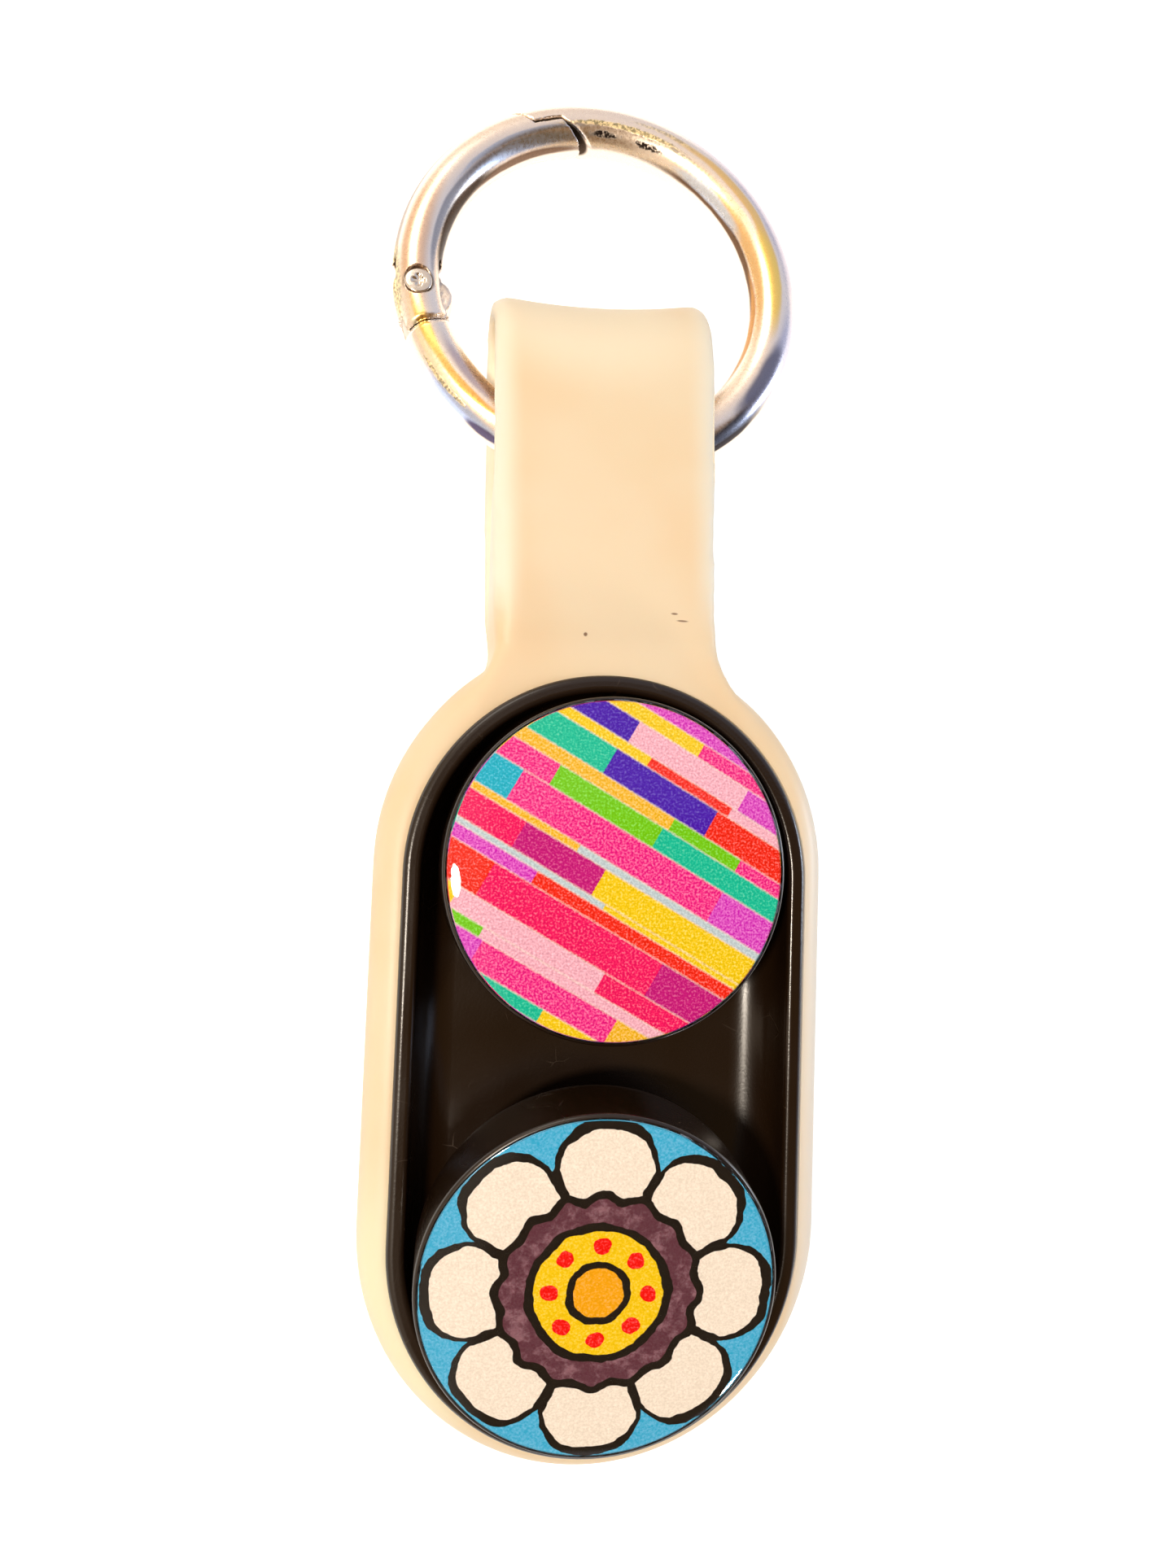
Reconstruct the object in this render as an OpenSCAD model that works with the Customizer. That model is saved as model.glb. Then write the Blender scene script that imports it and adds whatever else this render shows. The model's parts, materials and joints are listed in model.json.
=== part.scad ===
// Fidget clicker keyring: two magnetic domed pucks in a black tray, held in a soft sleeve
// whose folded strap carries a spring-gate split ring. Millimetres, lying on its back.
// Origin: centre of the tray on the flat back face. +X width, +Y towards the ring, +Z out of the faces.

/* [Tray] */
// outer end radius of the black tray
tray_r = 18.4; // [18:0.1:18.8]
// distance of each end centre from the middle of the tray
tray_c = 16; // [15.5:0.1:17]
// height of the tray rim above the back face
rim_z = 11; // [10.8:0.1:12]
// width of the flat top of the rim
rim_w = 1.6; // [1.4:0.1:1.8]
// depth of the trough below the rim
trough_d = 5.6; // [5.2:0.1:5.8]
// concave fillet between the trough floor and its wall
trough_f = 3.6; // [3:0.1:3.8]

/* [Sleeve] */
// outer end radius of the soft sleeve at its widest
sleeve_r = 21; // [20.6:0.1:21.6]
// top of the sleeve lip above the back face
lip_z = 9.9; // [9.6:0.1:10.2]
// thickness of the sleeve back panel
back_t = 1.8; // [1.6:0.1:2]
// concave radius where the sleeve flares into the strap
shoulder_r = 10; // [8:0.5:11]

/* [Strap] */
// width of the strap
strap_w = 20.8; // [20:0.1:21.4]
// thickness of one strap layer
strap_t = 1.8; // [1.6:0.1:2]
// clear height of the loop the ring runs in
slot_h = 9.1; // [9:0.1:9.4]
// outermost point of the fold, from the middle of the tray
fold_y = 71; // [70:0.1:72]
// sideways lean of the soft strap in degrees
strap_lean = 3; // [0:0.5:4]

/* [Ring] */
// radius of the ring to the middle of its wire
ring_r = 17.64; // [17.4:0.02:17.9]
// radius of the round ring wire
wire_r = 2.36; // [2.3:0.02:2.38]
// swing axis of the ring in the loop, from the middle of the tray
axis_y = 57.9; // [57.4:0.1:58.2]
// angle round the ring of the gate rivet
rivet_a = 185; // [182:0.5:187]
// angle round the ring of the gate tip
latch_a = 102; // [98:0.5:104]

/* [Pucks] */
// outer radius of a puck body
puck_r = 15.2; // [15:0.1:15.3]
// height of the printed face above the trough floor
puck_h = 8.8; // [8.4:0.1:9.2]
// rounding of the lower edge of a puck body
puck_f = 3; // [2.8:0.1:3.2]
// radius of the printed face and its dome
face_r = 14.8; // [14.5:0.1:14.9]
// rise of the clear dome over the printed face
dome_h = 1.4; // [1:0.1:1.8]
// seat of the upper puck from the middle of the tray
upper_y = 16.8; // [16.4:0.1:17]
// seat of the lower puck from the middle of the tray
lower_y = -16.3; // [-16.3:0.1:-16]
// how far the lower puck stands to one side
lower_x = -0.6; // [-0.6:0.1:0.6]
// how far the lower puck leans over the end of the tray, its inner edge lifted
lower_tip = 11; // [0:0.5:11]
// how far that lean is turned towards the side of the tray
lower_turn = -15; // [-15:1:15]

/* [Hidden] */
$fn = 96;
e = 0.01;
floor_z = rim_z - trough_d;
inner_r = tray_r - rim_w;
tray_z0 = back_t + 0.1;
cover_r = tray_r - 2.2;
sleeve_top_c = 17;
sleeve_low_c = -15.3;
lip_f = 2.8;
back_f = 1.6;
fold_r = slot_h / 2 + strap_t;
fold_c = fold_y - fold_r;
loop_top = slot_h + 2 * strap_t;
axis_z = fold_r;
axis_d = 2.045;
slot_end = axis_y - slot_h / 2 - 0.2;
neck_y = sleeve_top_c + sleeve_r;
tilt = asin((axis_z - wire_r) / (2 * ring_r - axis_d));
rivet_p = [ring_r * cos(rivet_a), ring_r * sin(rivet_a)];
tongue_t = 1;
slot_gap = 0.12;
tip_gap = 0.15;
lip_in = -0.05;
lip_gap = 0.25;
tip_rho = 2 * ring_r * sin((rivet_a - latch_a) / 2);
lip_rho = tip_rho - 2.2;
tail_r = 4.05;
tail_out = 5.46;
spring_m = rivet_a - 13.8;
spring_len = 3.4;
plunger_len = 2.4;
bore_r = 0.95;
magnet_r = 9;
magnet_t = 2;
slim_magnet_t = 1.56;
keeper_t = 0.38;
cover_t = 0.58;
recess_t = 0.8;
puck_z = floor_z + 0.02;
magnet_z = tray_z0 + cover_t + keeper_t + 0.06;
fit = 0.05;

// ---- shared shapes ----

// Stadium in plan between two end centres.
module stadium(r, c_top, c_low) {
    translate([0, c_top]) circle(r);
    translate([0, c_low]) circle(r);
    translate([-r, c_low]) square([2 * r, c_top - c_low]);
}

// Solid stadium block.
module stadium_block(r, c_top, c_low, z0, z1) {
    translate([0, 0, z0]) linear_extrude(z1 - z0) stadium(r, c_top, c_low);
}

// Sweeps a half profile (x = distance from the centre line, y = height) round a stadium.
module stadium_sweep(c_top, c_low) {
    translate([0, c_top, 0]) rotate_extrude() children();
    translate([0, c_low, 0]) rotate_extrude() children();
    translate([0, c_top, 0]) rotate([90, 0, 0]) linear_extrude(c_top - c_low) union() {
        children();
        mirror([1, 0]) children();
    }
}

// The frame of the strap, which leans a little sideways from the sleeve.
module strap_frame() {
    translate([0, neck_y, 0]) rotate([0, 0, strap_lean]) translate([0, -neck_y, 0]) children();
}

// The frame of the ring: its own centre, with its far side down on the table.
module ring_frame() {
    strap_frame() translate([0, axis_y, axis_z]) rotate([-tilt, 0, 0])
        translate([0, ring_r - axis_d, 0]) children();
}

// A length of the round ring wire from angle a0 to a1.
module wire(a0, a1) {
    rotate([0, 0, a0]) rotate_extrude(angle = a1 - a0) translate([ring_r, 0]) circle(wire_r);
}

// ---- sleeve ----

// Outer half profile of the sleeve wall, rounded at the lip and eased at the back.
module sleeve_profile() {
    square([sleeve_r - lip_f, lip_z]);
    translate([0, back_f]) square([sleeve_r, lip_z - lip_f - back_f]);
    square([sleeve_r - back_f, lip_z - lip_f]);
    translate([sleeve_r - lip_f, lip_z - lip_f]) circle(lip_f);
    translate([sleeve_r - back_f, back_f]) circle(back_f);
}

// Plan of the neck between the sleeve end and the strap, with its two concave shoulders.
module neck_plan() {
    w = strap_w / 2 - 0.3;
    r = sleeve_r - 1;
    k = sqrt(pow(r + shoulder_r, 2) - pow(w + shoulder_r, 2));
    tx = (w + shoulder_r) * r / (r + shoulder_r);
    ty = sleeve_top_c + k * r / (r + shoulder_r);
    difference() {
        polygon([[-tx, ty], [0, sleeve_top_c], [tx, ty], [w, sleeve_top_c + k], [-w, sleeve_top_c + k]]);
        for (s = [-1, 1])
            translate([s * (w + shoulder_r), sleeve_top_c + k]) circle(shoulder_r);
    }
}

// Side view of the strap (x = along +Y, y = height), solid outside and folded at its end.
module strap_side() {
    translate([fold_c, fold_r]) circle(fold_r);
    translate([axis_y - 8, 0]) square([fold_c - axis_y + 8, loop_top]);
    polygon([[neck_y - 5, 0], [axis_y - 8 + e, 0], [axis_y - 8 + e, loop_top], [neck_y - 5, lip_z - 1]]);
}

// Side view of the opening inside the loop, narrowing towards the sleeve.
module slot_side() {
    translate([fold_c, fold_r]) circle(slot_h / 2);
    translate([slot_end, strap_t]) square([fold_c - slot_end, slot_h]);
    polygon([[neck_y + 3, strap_t], [slot_end + e, strap_t], [slot_end + e, strap_t + slot_h],
             [neck_y + 3, strap_t + 1.2]]);
}

// Turns a side view into a solid across the strap.
module across(w) {
    translate([w / 2, 0, 0]) rotate([90, 0, 90]) translate([0, 0, -w]) linear_extrude(w) children();
}

module sleeve() {
    color([0.96, 0.88, 0.78])
    difference() {
        union() {
            stadium_sweep(sleeve_top_c, sleeve_low_c) sleeve_profile();
            linear_extrude(lip_z) neck_plan();
            strap_frame() across(strap_w) strap_side();
        }
        stadium_block(tray_r - 0.7, tray_c, -tray_c, back_t, rim_z + 5);
        stadium_block(tray_r + fit, tray_c, -tray_c, rim_z - 3.4, rim_z + 5);
        stadium_block(tray_r, tray_c, -tray_c, back_t, back_t + 2);
        strap_frame() across(strap_w + 8) slot_side();
    }
}

// ---- tray ----

// Half profile of the trough: flat floor, concave fillet, upright wall.
module trough_profile() {
    square([inner_r - trough_f, trough_d + 3]);
    translate([0, trough_f]) square([inner_r, trough_d + 3 - trough_f]);
    translate([inner_r - trough_f, trough_f]) circle(trough_f);
}

module tray_body() {
    color([0.05, 0.045, 0.04])
    difference() {
        union() {
            stadium_block(tray_r, tray_c, -tray_c, rim_z - 3.3, rim_z - 0.4);
            stadium_block(tray_r - 0.4, tray_c, -tray_c, rim_z - 3.3, rim_z);
            stadium_block(tray_r - 0.8, tray_c, -tray_c, tray_z0, rim_z - 1);
            stadium_block(tray_r - 0.1, tray_c, -tray_c, tray_z0, back_t + 1.9);
        }
        translate([0, 0, floor_z]) stadium_sweep(tray_c, -tray_c) intersection() {
            trough_profile();
            square([100, 100]);
        }
        stadium_block(cover_r + 0.08, tray_c, -tray_c, tray_z0 - 1, tray_z0 + cover_t + 0.02);
        for (y = [upper_y, lower_y])
            translate([0, y, tray_z0]) cylinder(r = magnet_r + 0.08, h = magnet_z + slim_magnet_t + 0.04 - tray_z0);
    }
}

module tray_cover() {
    color([0.08, 0.07, 0.065])
    stadium_block(cover_r, tray_c, -tray_c, tray_z0, tray_z0 + cover_t);
}

module tray_magnet(y) {
    color([0.62, 0.63, 0.65])
    translate([0, y, magnet_z]) cylinder(r = magnet_r, h = slim_magnet_t);
}

module tray_keeper(y) {
    color([0.5, 0.51, 0.53])
    translate([0, y, tray_z0 + cover_t + 0.03]) cylinder(r = magnet_r, h = keeper_t);
}

module tray_magnet_upper() { tray_magnet(upper_y); }
module tray_magnet_lower() { tray_magnet(lower_y); }
module tray_keeper_upper() { tray_keeper(upper_y); }
module tray_keeper_lower() { tray_keeper(lower_y); }

// ---- pucks ----

// Half profile of the puck body, rounded low and finely eased at the top edge.
module puck_profile() {
    square([puck_r - puck_f, puck_h]);
    translate([0, puck_f]) square([puck_r, puck_h - puck_f]);
    translate([puck_r - puck_f, puck_f]) circle(puck_f);
}

module puck_shell() {
    color([0.05, 0.045, 0.045])
    difference() {
        rotate_extrude() puck_profile();
        translate([0, 0, puck_h - recess_t]) cylinder(r = face_r + 0.05, h = 2);
        translate([0, 0, 1.2]) cylinder(r = 11.5, h = puck_h - 3.4);
        translate([0, 0, -1]) cylinder(r = 12, h = 2.2);
    }
}

module puck_cap() {
    color([0.07, 0.065, 0.06]) cylinder(r = 11.95, h = 1.15);
}

module puck_magnet() {
    color([0.62, 0.63, 0.65])
    translate([0, 0, 1.2]) cylinder(r = magnet_r, h = magnet_t);
}

module puck_weight() {
    color([0.55, 0.56, 0.58])
    translate([0, 0, 1.25 + magnet_t]) cylinder(r = 11.4, h = puck_h - 5.6);
}

module puck_print() {
    color([0.85, 0.4, 0.65])
    translate([0, 0, puck_h - recess_t + 0.02]) cylinder(r = face_r, h = recess_t - 0.04);
}

module puck_dome() {
    ball = (pow(face_r, 2) + pow(dome_h, 2)) / (2 * dome_h);
    color([0.9, 0.92, 0.95, 0.4])
    translate([0, 0, puck_h]) rotate_extrude($fn = 360) intersection() {
        translate([0, dome_h - ball]) circle(ball);
        square([face_r + 1, dome_h + 1]);
    }
}

// The upper puck lies flat on the floor of the trough.
module upper_seat() {
    translate([0, upper_y, puck_z]) children();
}

// The lower puck stands on its outer lower edge, tipped towards the end of the tray.
module lower_seat() {
    translate([lower_x, lower_y, puck_z + (puck_r - puck_f) * sin(lower_tip) + puck_f * (1 - cos(lower_tip))])
        rotate([lower_tip, 0, lower_turn]) children();
}

module upper_shell() { upper_seat() puck_shell(); }
module upper_cap() { upper_seat() puck_cap(); }
module upper_magnet() { upper_seat() puck_magnet(); }
module upper_weight() { upper_seat() puck_weight(); }
module upper_print() { upper_seat() puck_print(); }
module upper_dome() { upper_seat() puck_dome(); }
module lower_shell() { lower_seat() puck_shell(); }
module lower_cap() { lower_seat() puck_cap(); }
module lower_magnet() { lower_seat() puck_magnet(); }
module lower_weight() { lower_seat() puck_weight(); }
module lower_print() { lower_seat() puck_print(); }
module lower_dome() { lower_seat() puck_dome(); }

// ---- ring and gate ----

// Plan sector of the ring between two angles and two radii, as a tall solid.
module ring_sector(a0, a1, r0, r1) {
    rotate([0, 0, a0]) rotate_extrude(angle = a1 - a0) translate([r0, -5]) square([r1 - r0, 10]);
}

// An upright cylinder on the rivet axis, in the ring frame.
module at_rivet(r, h, z = 0) {
    translate([rivet_p[0], rivet_p[1], z]) cylinder(r = r, h = h, center = true);
}

// The frame at the rivet: +X along the fixed wire, +Y towards the middle of the ring.
module hinge_frame() {
    translate([rivet_p[0], rivet_p[1], 0]) rotate([0, 0, rivet_a + 90]) children();
}

// Plan of the gate's tail behind the rivet, longer on the outside of the ring.
module tail_plan(grow) {
    circle(tail_r + grow);
    polygon([[-1, -4 - grow], [tail_out + grow, -4 - grow], [4.05 + grow, 0], [-1, 0]]);
}

module ring_body() {
    color([0.78, 0.77, 0.74])
    ring_frame() difference() {
        union() {
            wire(rivet_a - 360, latch_a + 19);
            // tongue eye, the round lug inside it and the stop tab behind the gate's tail
            at_rivet(wire_r, 2 * tongue_t);
            hinge_frame() {
                translate([1, 1.4, 0]) cylinder(r = 1.7, h = 2 * tongue_t, center = true);
                translate([0, 0, -tongue_t + 0.1]) linear_extrude(2 * tongue_t - 0.2)
                    polygon([[2.6, 1.6], [4.9, 1.6], [4.9, 2.95], [4.5, 2.95]]);
            }
        }
        // seat of the gate tip, which leaves the outer lip that the tip closes against
        intersection() {
            ring_sector(latch_a - 14, latch_a + 20, ring_r - 5, ring_r + lip_in);
            at_rivet(tip_rho + tip_gap, 12);
        }
        intersection() {
            ring_sector(latch_a - 14, latch_a + 20, ring_r - 5, ring_r + 5);
            at_rivet(lip_rho + tip_gap, 12);
        }
        // the body's face beyond the tip slopes away towards the middle of the ring
        rotate([0, 0, latch_a]) translate([ring_r, 0, -5]) linear_extrude(10)
            polygon([[-0.3, -0.35], [-1.02, -1.46], [-3.6, -4.04], [-3.6, 0]]);
        // room for the gate cheeks above and below the tongue
        for (s = [-1, 1]) hinge_frame()
            translate([0, 0, s * (tongue_t + 2) - 2]) linear_extrude(4) tail_plan(tip_gap);
        at_rivet(0.95, 12);
    }
}

module gate() {
    color([0.8, 0.79, 0.76])
    ring_frame() difference() {
        intersection() {
            wire(latch_a - 12, rivet_a + 24);
            at_rivet(tip_rho, 12);
            union() {
                ring_sector(latch_a - 12, rivet_a, ring_r - 4, ring_r + 4);
                hinge_frame() translate([0, 0, -5]) linear_extrude(10) tail_plan(0);
            }
        }
        // step under the outer lip of the ring body
        difference() {
            ring_sector(latch_a - 12, latch_a + 20, ring_r + lip_in - lip_gap, ring_r + 6);
            at_rivet(lip_rho, 12);
        }
        // slot for the tongue
        at_rivet(3.6, 2 * (tongue_t + slot_gap));
        hinge_frame() translate([4, 0, 0]) cube([8, 12, 2 * (tongue_t + slot_gap)], center = true);
        // rivet hole and the counterbores of its heads
        at_rivet(0.92, 12);
        for (s = [-1, 1]) at_rivet(1.42, 4, s * 3.9);
        // bore for the spring and plunger
        translate([rivet_p[0], rivet_p[1], 0]) rotate([0, 0, spring_m - 90]) rotate([0, 90, 0])
            cylinder(r = bore_r, h = 2.5 + plunger_len + spring_len);
    }
}

module gate_rivet() {
    color([0.7, 0.7, 0.7])
    ring_frame() difference() {
        union() {
            at_rivet(0.9, 4);
            for (s = [-1, 1]) at_rivet(1.28, 0.3, s * 2.07);
        }
        for (s = [-1, 1]) at_rivet(0.55, 0.3, s * 2.25);
    }
}

module gate_plunger() {
    color([0.6, 0.6, 0.62])
    ring_frame() translate([rivet_p[0], rivet_p[1], 0]) rotate([0, 0, spring_m - 90])
        translate([wire_r + 0.05, 0, 0]) rotate([0, 90, 0]) cylinder(r = 0.85, h = plunger_len);
}

module gate_spring() {
    color([0.55, 0.55, 0.57])
    ring_frame() translate([rivet_p[0], rivet_p[1], 0]) rotate([0, 0, spring_m - 90])
        translate([wire_r + 0.08 + plunger_len, 0, 0]) rotate([0, 90, 0])
        difference() {
            cylinder(r = 0.85, h = spring_len);
            translate([0, 0, -1]) cylinder(r = 0.5, h = spring_len + 2);
        }
}

sleeve();
tray_body();
tray_cover();
tray_magnet_upper();
tray_magnet_lower();
tray_keeper_upper();
tray_keeper_lower();
upper_shell();
upper_cap();
upper_magnet();
upper_weight();
upper_print();
upper_dome();
lower_shell();
lower_cap();
lower_magnet();
lower_weight();
lower_print();
lower_dome();
ring_body();
gate();
gate_rivet();
gate_spring();
gate_plunger();
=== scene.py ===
import json
import math
import bmesh
import bpy
import numpy as np
from mathutils import Matrix, Vector


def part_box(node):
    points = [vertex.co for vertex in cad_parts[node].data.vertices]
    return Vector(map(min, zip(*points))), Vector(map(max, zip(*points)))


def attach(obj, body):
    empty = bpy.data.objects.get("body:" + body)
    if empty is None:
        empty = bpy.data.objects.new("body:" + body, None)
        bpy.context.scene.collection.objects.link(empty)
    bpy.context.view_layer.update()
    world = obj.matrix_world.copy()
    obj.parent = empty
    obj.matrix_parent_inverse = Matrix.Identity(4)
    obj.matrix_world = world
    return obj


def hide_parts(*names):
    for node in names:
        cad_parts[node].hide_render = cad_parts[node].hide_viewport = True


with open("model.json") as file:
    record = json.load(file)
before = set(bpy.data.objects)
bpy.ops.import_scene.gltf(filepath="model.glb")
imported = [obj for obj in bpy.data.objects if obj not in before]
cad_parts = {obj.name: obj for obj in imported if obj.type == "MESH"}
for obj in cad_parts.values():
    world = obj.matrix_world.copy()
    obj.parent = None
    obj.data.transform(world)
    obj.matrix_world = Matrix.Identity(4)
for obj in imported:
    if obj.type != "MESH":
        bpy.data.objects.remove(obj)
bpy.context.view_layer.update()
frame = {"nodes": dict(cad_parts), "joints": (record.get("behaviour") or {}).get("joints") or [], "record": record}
mm = 0.001
scene = bpy.context.scene
joints = {joint["name"]: joint for joint in frame["joints"]}
mounts = {mount["name"]: mount for mount in frame["record"]["mounts"]}
print("loaded the frame with", len(frame["nodes"]), "nodes")


cameraView = {
    "place": (-19.961, 17.601, 110.818),  # mm
    "right": (0.983819, 0.034300, 0.175853),
    "up": (-0.045423, 0.997187, 0.059621),
    "lens": 26.0,
}


def makeCamera(view):
    data = bpy.data.cameras.new("camera")
    data.lens = view["lens"]
    data.sensor_width = 36
    data.clip_start = 0.005
    data.clip_end = 10
    camera = bpy.data.objects.new("camera", data)
    scene.collection.objects.link(camera)
    right = Vector(view["right"]).normalized()
    back = right.cross(Vector(view["up"])).normalized()
    up = back.cross(right)
    for row in range(3):
        for column, axis in enumerate((right, up, back)):
            camera.matrix_world[row][column] = axis[row]
        camera.matrix_world[row][3] = view["place"][row] * mm
    scene.camera = camera


makeCamera(cameraView)
scene.view_settings.view_transform = "Standard"


def srgb(r, g, b):
    def one(value):
        value = value / 255
        return value / 12.92 if value <= 0.04045 else ((value + 0.055) / 1.055) ** 2.4
    return (one(r), one(g), one(b), 1)


def addNode(tree, kind, inputs=None, **settings):
    node = tree.nodes.new(kind)
    for name, value in settings.items():
        setattr(node, name, value)
    for name, value in (inputs or {}).items():
        if isinstance(value, bpy.types.NodeSocket):
            tree.links.new(value, node.inputs[name])
        else:
            node.inputs[name].default_value = value
    return node


def calc(tree, operation, *values, clamp=False):
    node = addNode(tree, "ShaderNodeMath", dict(enumerate(values)), operation=operation)
    node.use_clamp = clamp
    return node.outputs[0]


def product(tree, *values):
    result = values[0]
    for value in values[1:]:
        result = calc(tree, "MULTIPLY", result, value)
    return result


def largest(tree, *values):
    result = values[0]
    for value in values[1:]:
        result = calc(tree, "MAXIMUM", result, value)
    return result


def hypotenuse(tree, x, y):
    return calc(tree, "SQRT", calc(tree, "ADD", calc(tree, "POWER", x, 2), calc(tree, "POWER", y, 2)))


def vectorCalc(tree, operation, *values):
    return addNode(tree, "ShaderNodeVectorMath", dict(enumerate(values)), operation=operation).outputs[0]


def vectorLength(tree, value):
    return addNode(tree, "ShaderNodeVectorMath", {0: value}, operation="LENGTH").outputs["Value"]


def splitVector(tree, value):
    return addNode(tree, "ShaderNodeSeparateXYZ", {"Vector": value}).outputs


def remap(tree, value, low, high, toLow=0.0, toHigh=1.0, smooth=False):
    return addNode(tree, "ShaderNodeMapRange", {
        "Value": value, "From Min": low, "From Max": high, "To Min": toLow, "To Max": toHigh,
    }, interpolation_type="SMOOTHSTEP" if smooth else "LINEAR").outputs["Result"]


def mixColor(tree, amount, first, second):
    node = addNode(tree, "ShaderNodeMix", {0: amount}, data_type="RGBA")
    for index, value in ((6, first), (7, second)):
        if isinstance(value, bpy.types.NodeSocket):
            tree.links.new(value, node.inputs[index])
        else:
            node.inputs[index].default_value = value
    return node.outputs[2]


def noise(tree, vector, scale, detail=3.0, roughness=0.5):
    return addNode(tree, "ShaderNodeTexNoise", {
        "Vector": vector, "Scale": scale, "Detail": detail, "Roughness": roughness,
    }).outputs["Fac"]


def noiseColor(tree, vector, scale, detail):
    values = {"Vector": vector, "Scale": scale, "Detail": detail}
    return addNode(tree, "ShaderNodeTexNoise", values).outputs["Color"]


def objectPlace(tree):
    return addNode(tree, "ShaderNodeTexCoord").outputs["Object"]


def newGroup(name, inputs, outputs):
    group = bpy.data.node_groups.new(name, "ShaderNodeTree")
    for label, value in inputs.items():
        socket = group.interface.new_socket(label, in_out="INPUT", socket_type="NodeSocketFloat")
        socket.default_value = value
    for label in outputs:
        group.interface.new_socket(label, in_out="OUTPUT", socket_type="NodeSocketFloat")
    start = group.nodes.new("NodeGroupInput")
    end = group.nodes.new("NodeGroupOutput")
    return group, start.outputs, end.inputs


def useGroup(tree, group, **inputs):
    node = tree.nodes.new("ShaderNodeGroup")
    node.node_tree = group
    for name, value in inputs.items():
        node.inputs[name].default_value = value
    return node.outputs


def grainGroup():
    # fine moulded or printed grain: a height, and a slow tone that drifts over the surface
    group, given, result = newGroup("fineGrain", {"Size": 0.3, "Drift": 9.0}, ["Height", "Tone"])
    place = objectPlace(group)
    fine = noise(group, place, calc(group, "DIVIDE", 1000, given["Size"]), 4, 0.6)
    slow = noise(group, place, calc(group, "DIVIDE", 1000, given["Drift"]), 2, 0.5)
    group.links.new(fine, result["Height"])
    group.links.new(slow, result["Tone"])
    return group


def scratchGroup():
    # long thin hairline scratches that come and go
    group, given, result = newGroup("hairScratches", {"Size": 6.0, "Width": 0.02, "Amount": 0.4}, ["Mask"])
    place = objectPlace(group)
    bent = vectorCalc(group, "MULTIPLY", noiseColor(group, place, 90.0, 1.0), (0.006, 0.006, 0.006))
    moved = vectorCalc(group, "ADD", place, bent)
    cells = addNode(group, "ShaderNodeTexVoronoi", {
        "Vector": moved, "Scale": calc(group, "DIVIDE", 1000, given["Size"]),
    }, feature="DISTANCE_TO_EDGE")
    line = remap(group, cells.outputs["Distance"], 0.0, given["Width"], 1.0, 0.0)
    gate = noise(group, place, 260.0, 2)
    shown = remap(group, gate, calc(group, "SUBTRACT", 1.0, given["Amount"]), 1.0, 0.0, 3.0)
    mask = calc(group, "MULTIPLY", line, shown, clamp=True)
    group.links.new(mask, result["Mask"])
    return group


def speckGroup():
    # sparse round specks of dust or grit
    group, given, result = newGroup("dustSpecks", {"Spacing": 1.6, "Radius": 0.05, "Amount": 0.3}, ["Mask"])
    place = objectPlace(group)
    cells = addNode(group, "ShaderNodeTexVoronoi", {
        "Vector": place, "Scale": calc(group, "DIVIDE", 1000, given["Spacing"]),
    }, feature="F1")
    chance = addNode(group, "ShaderNodeSeparateColor", {"Color": cells.outputs["Color"]}).outputs
    reach = calc(group, "MULTIPLY", given["Radius"], calc(group, "ADD", chance["Green"], 0.3))
    speck = remap(group, cells.outputs["Distance"], calc(group, "MULTIPLY", reach, 0.6), reach, 1.0, 0.0)
    picked = calc(group, "LESS_THAN", chance["Red"], given["Amount"])
    group.links.new(calc(group, "MULTIPLY", speck, picked), result["Mask"])
    return group


fineGrain = grainGroup()
hairScratches = scratchGroup()
dustSpecks = speckGroup()


def newMaterial(name, **fixed):
    material = bpy.data.materials.new(name)
    material.use_nodes = True
    tree = material.node_tree
    shader = tree.nodes["Principled BSDF"]
    for socket, value in fixed.items():
        shader.inputs[socket.replace("_", " ")].default_value = value
    return material, tree, shader


def paint(tree, shader, color, roughness=None):
    tree.links.new(color, shader.inputs["Base Color"])
    if roughness is not None:
        tree.links.new(roughness, shader.inputs["Roughness"])


def bump(tree, shader, height, strength, distance):
    values = {"Height": height, "Strength": strength, "Distance": distance * mm}
    node = addNode(tree, "ShaderNodeBump", values)
    tree.links.new(node.outputs["Normal"], shader.inputs["Normal"])


def localMm(tree, centre, turn):
    # position in millimetres in the turned frame of a piece, measured from its centre
    node = addNode(tree, "ShaderNodeMapping", {
        "Vector": objectPlace(tree), "Location": tuple(centre), "Rotation": tuple(turn.to_euler("XYZ")),
        "Scale": (mm, mm, mm),
    }, vector_type="TEXTURE")
    return node.outputs["Vector"]


def shifted(tree, values, place, scale, amount, detail):
    # values moved about a little by noise that is read at the given place
    shift = vectorCalc(tree, "SUBTRACT", noiseColor(tree, place, scale, detail), (0.5, 0.5, 0.5))
    return vectorCalc(tree, "ADD", values, vectorCalc(tree, "MULTIPLY", shift, amount))


def warped(tree, place, scale, amount, detail=2.0):
    return shifted(tree, place, place, scale, amount, detail)


def oval(tree, away, reach, soft):
    # 1 inside an ellipse, easing to 0 across its edge
    share = vectorCalc(tree, "MULTIPLY", away, (1 / reach[0], 1 / reach[1], 0))
    return remap(tree, vectorLength(tree, share), 1.0 - soft, 1.0 + soft, 1.0, 0.0, smooth=True)


def blob(tree, place, centre, reach, soft=0.35):
    return oval(tree, vectorCalc(tree, "SUBTRACT", place, (centre[0], centre[1], 0)), reach, soft)


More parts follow.
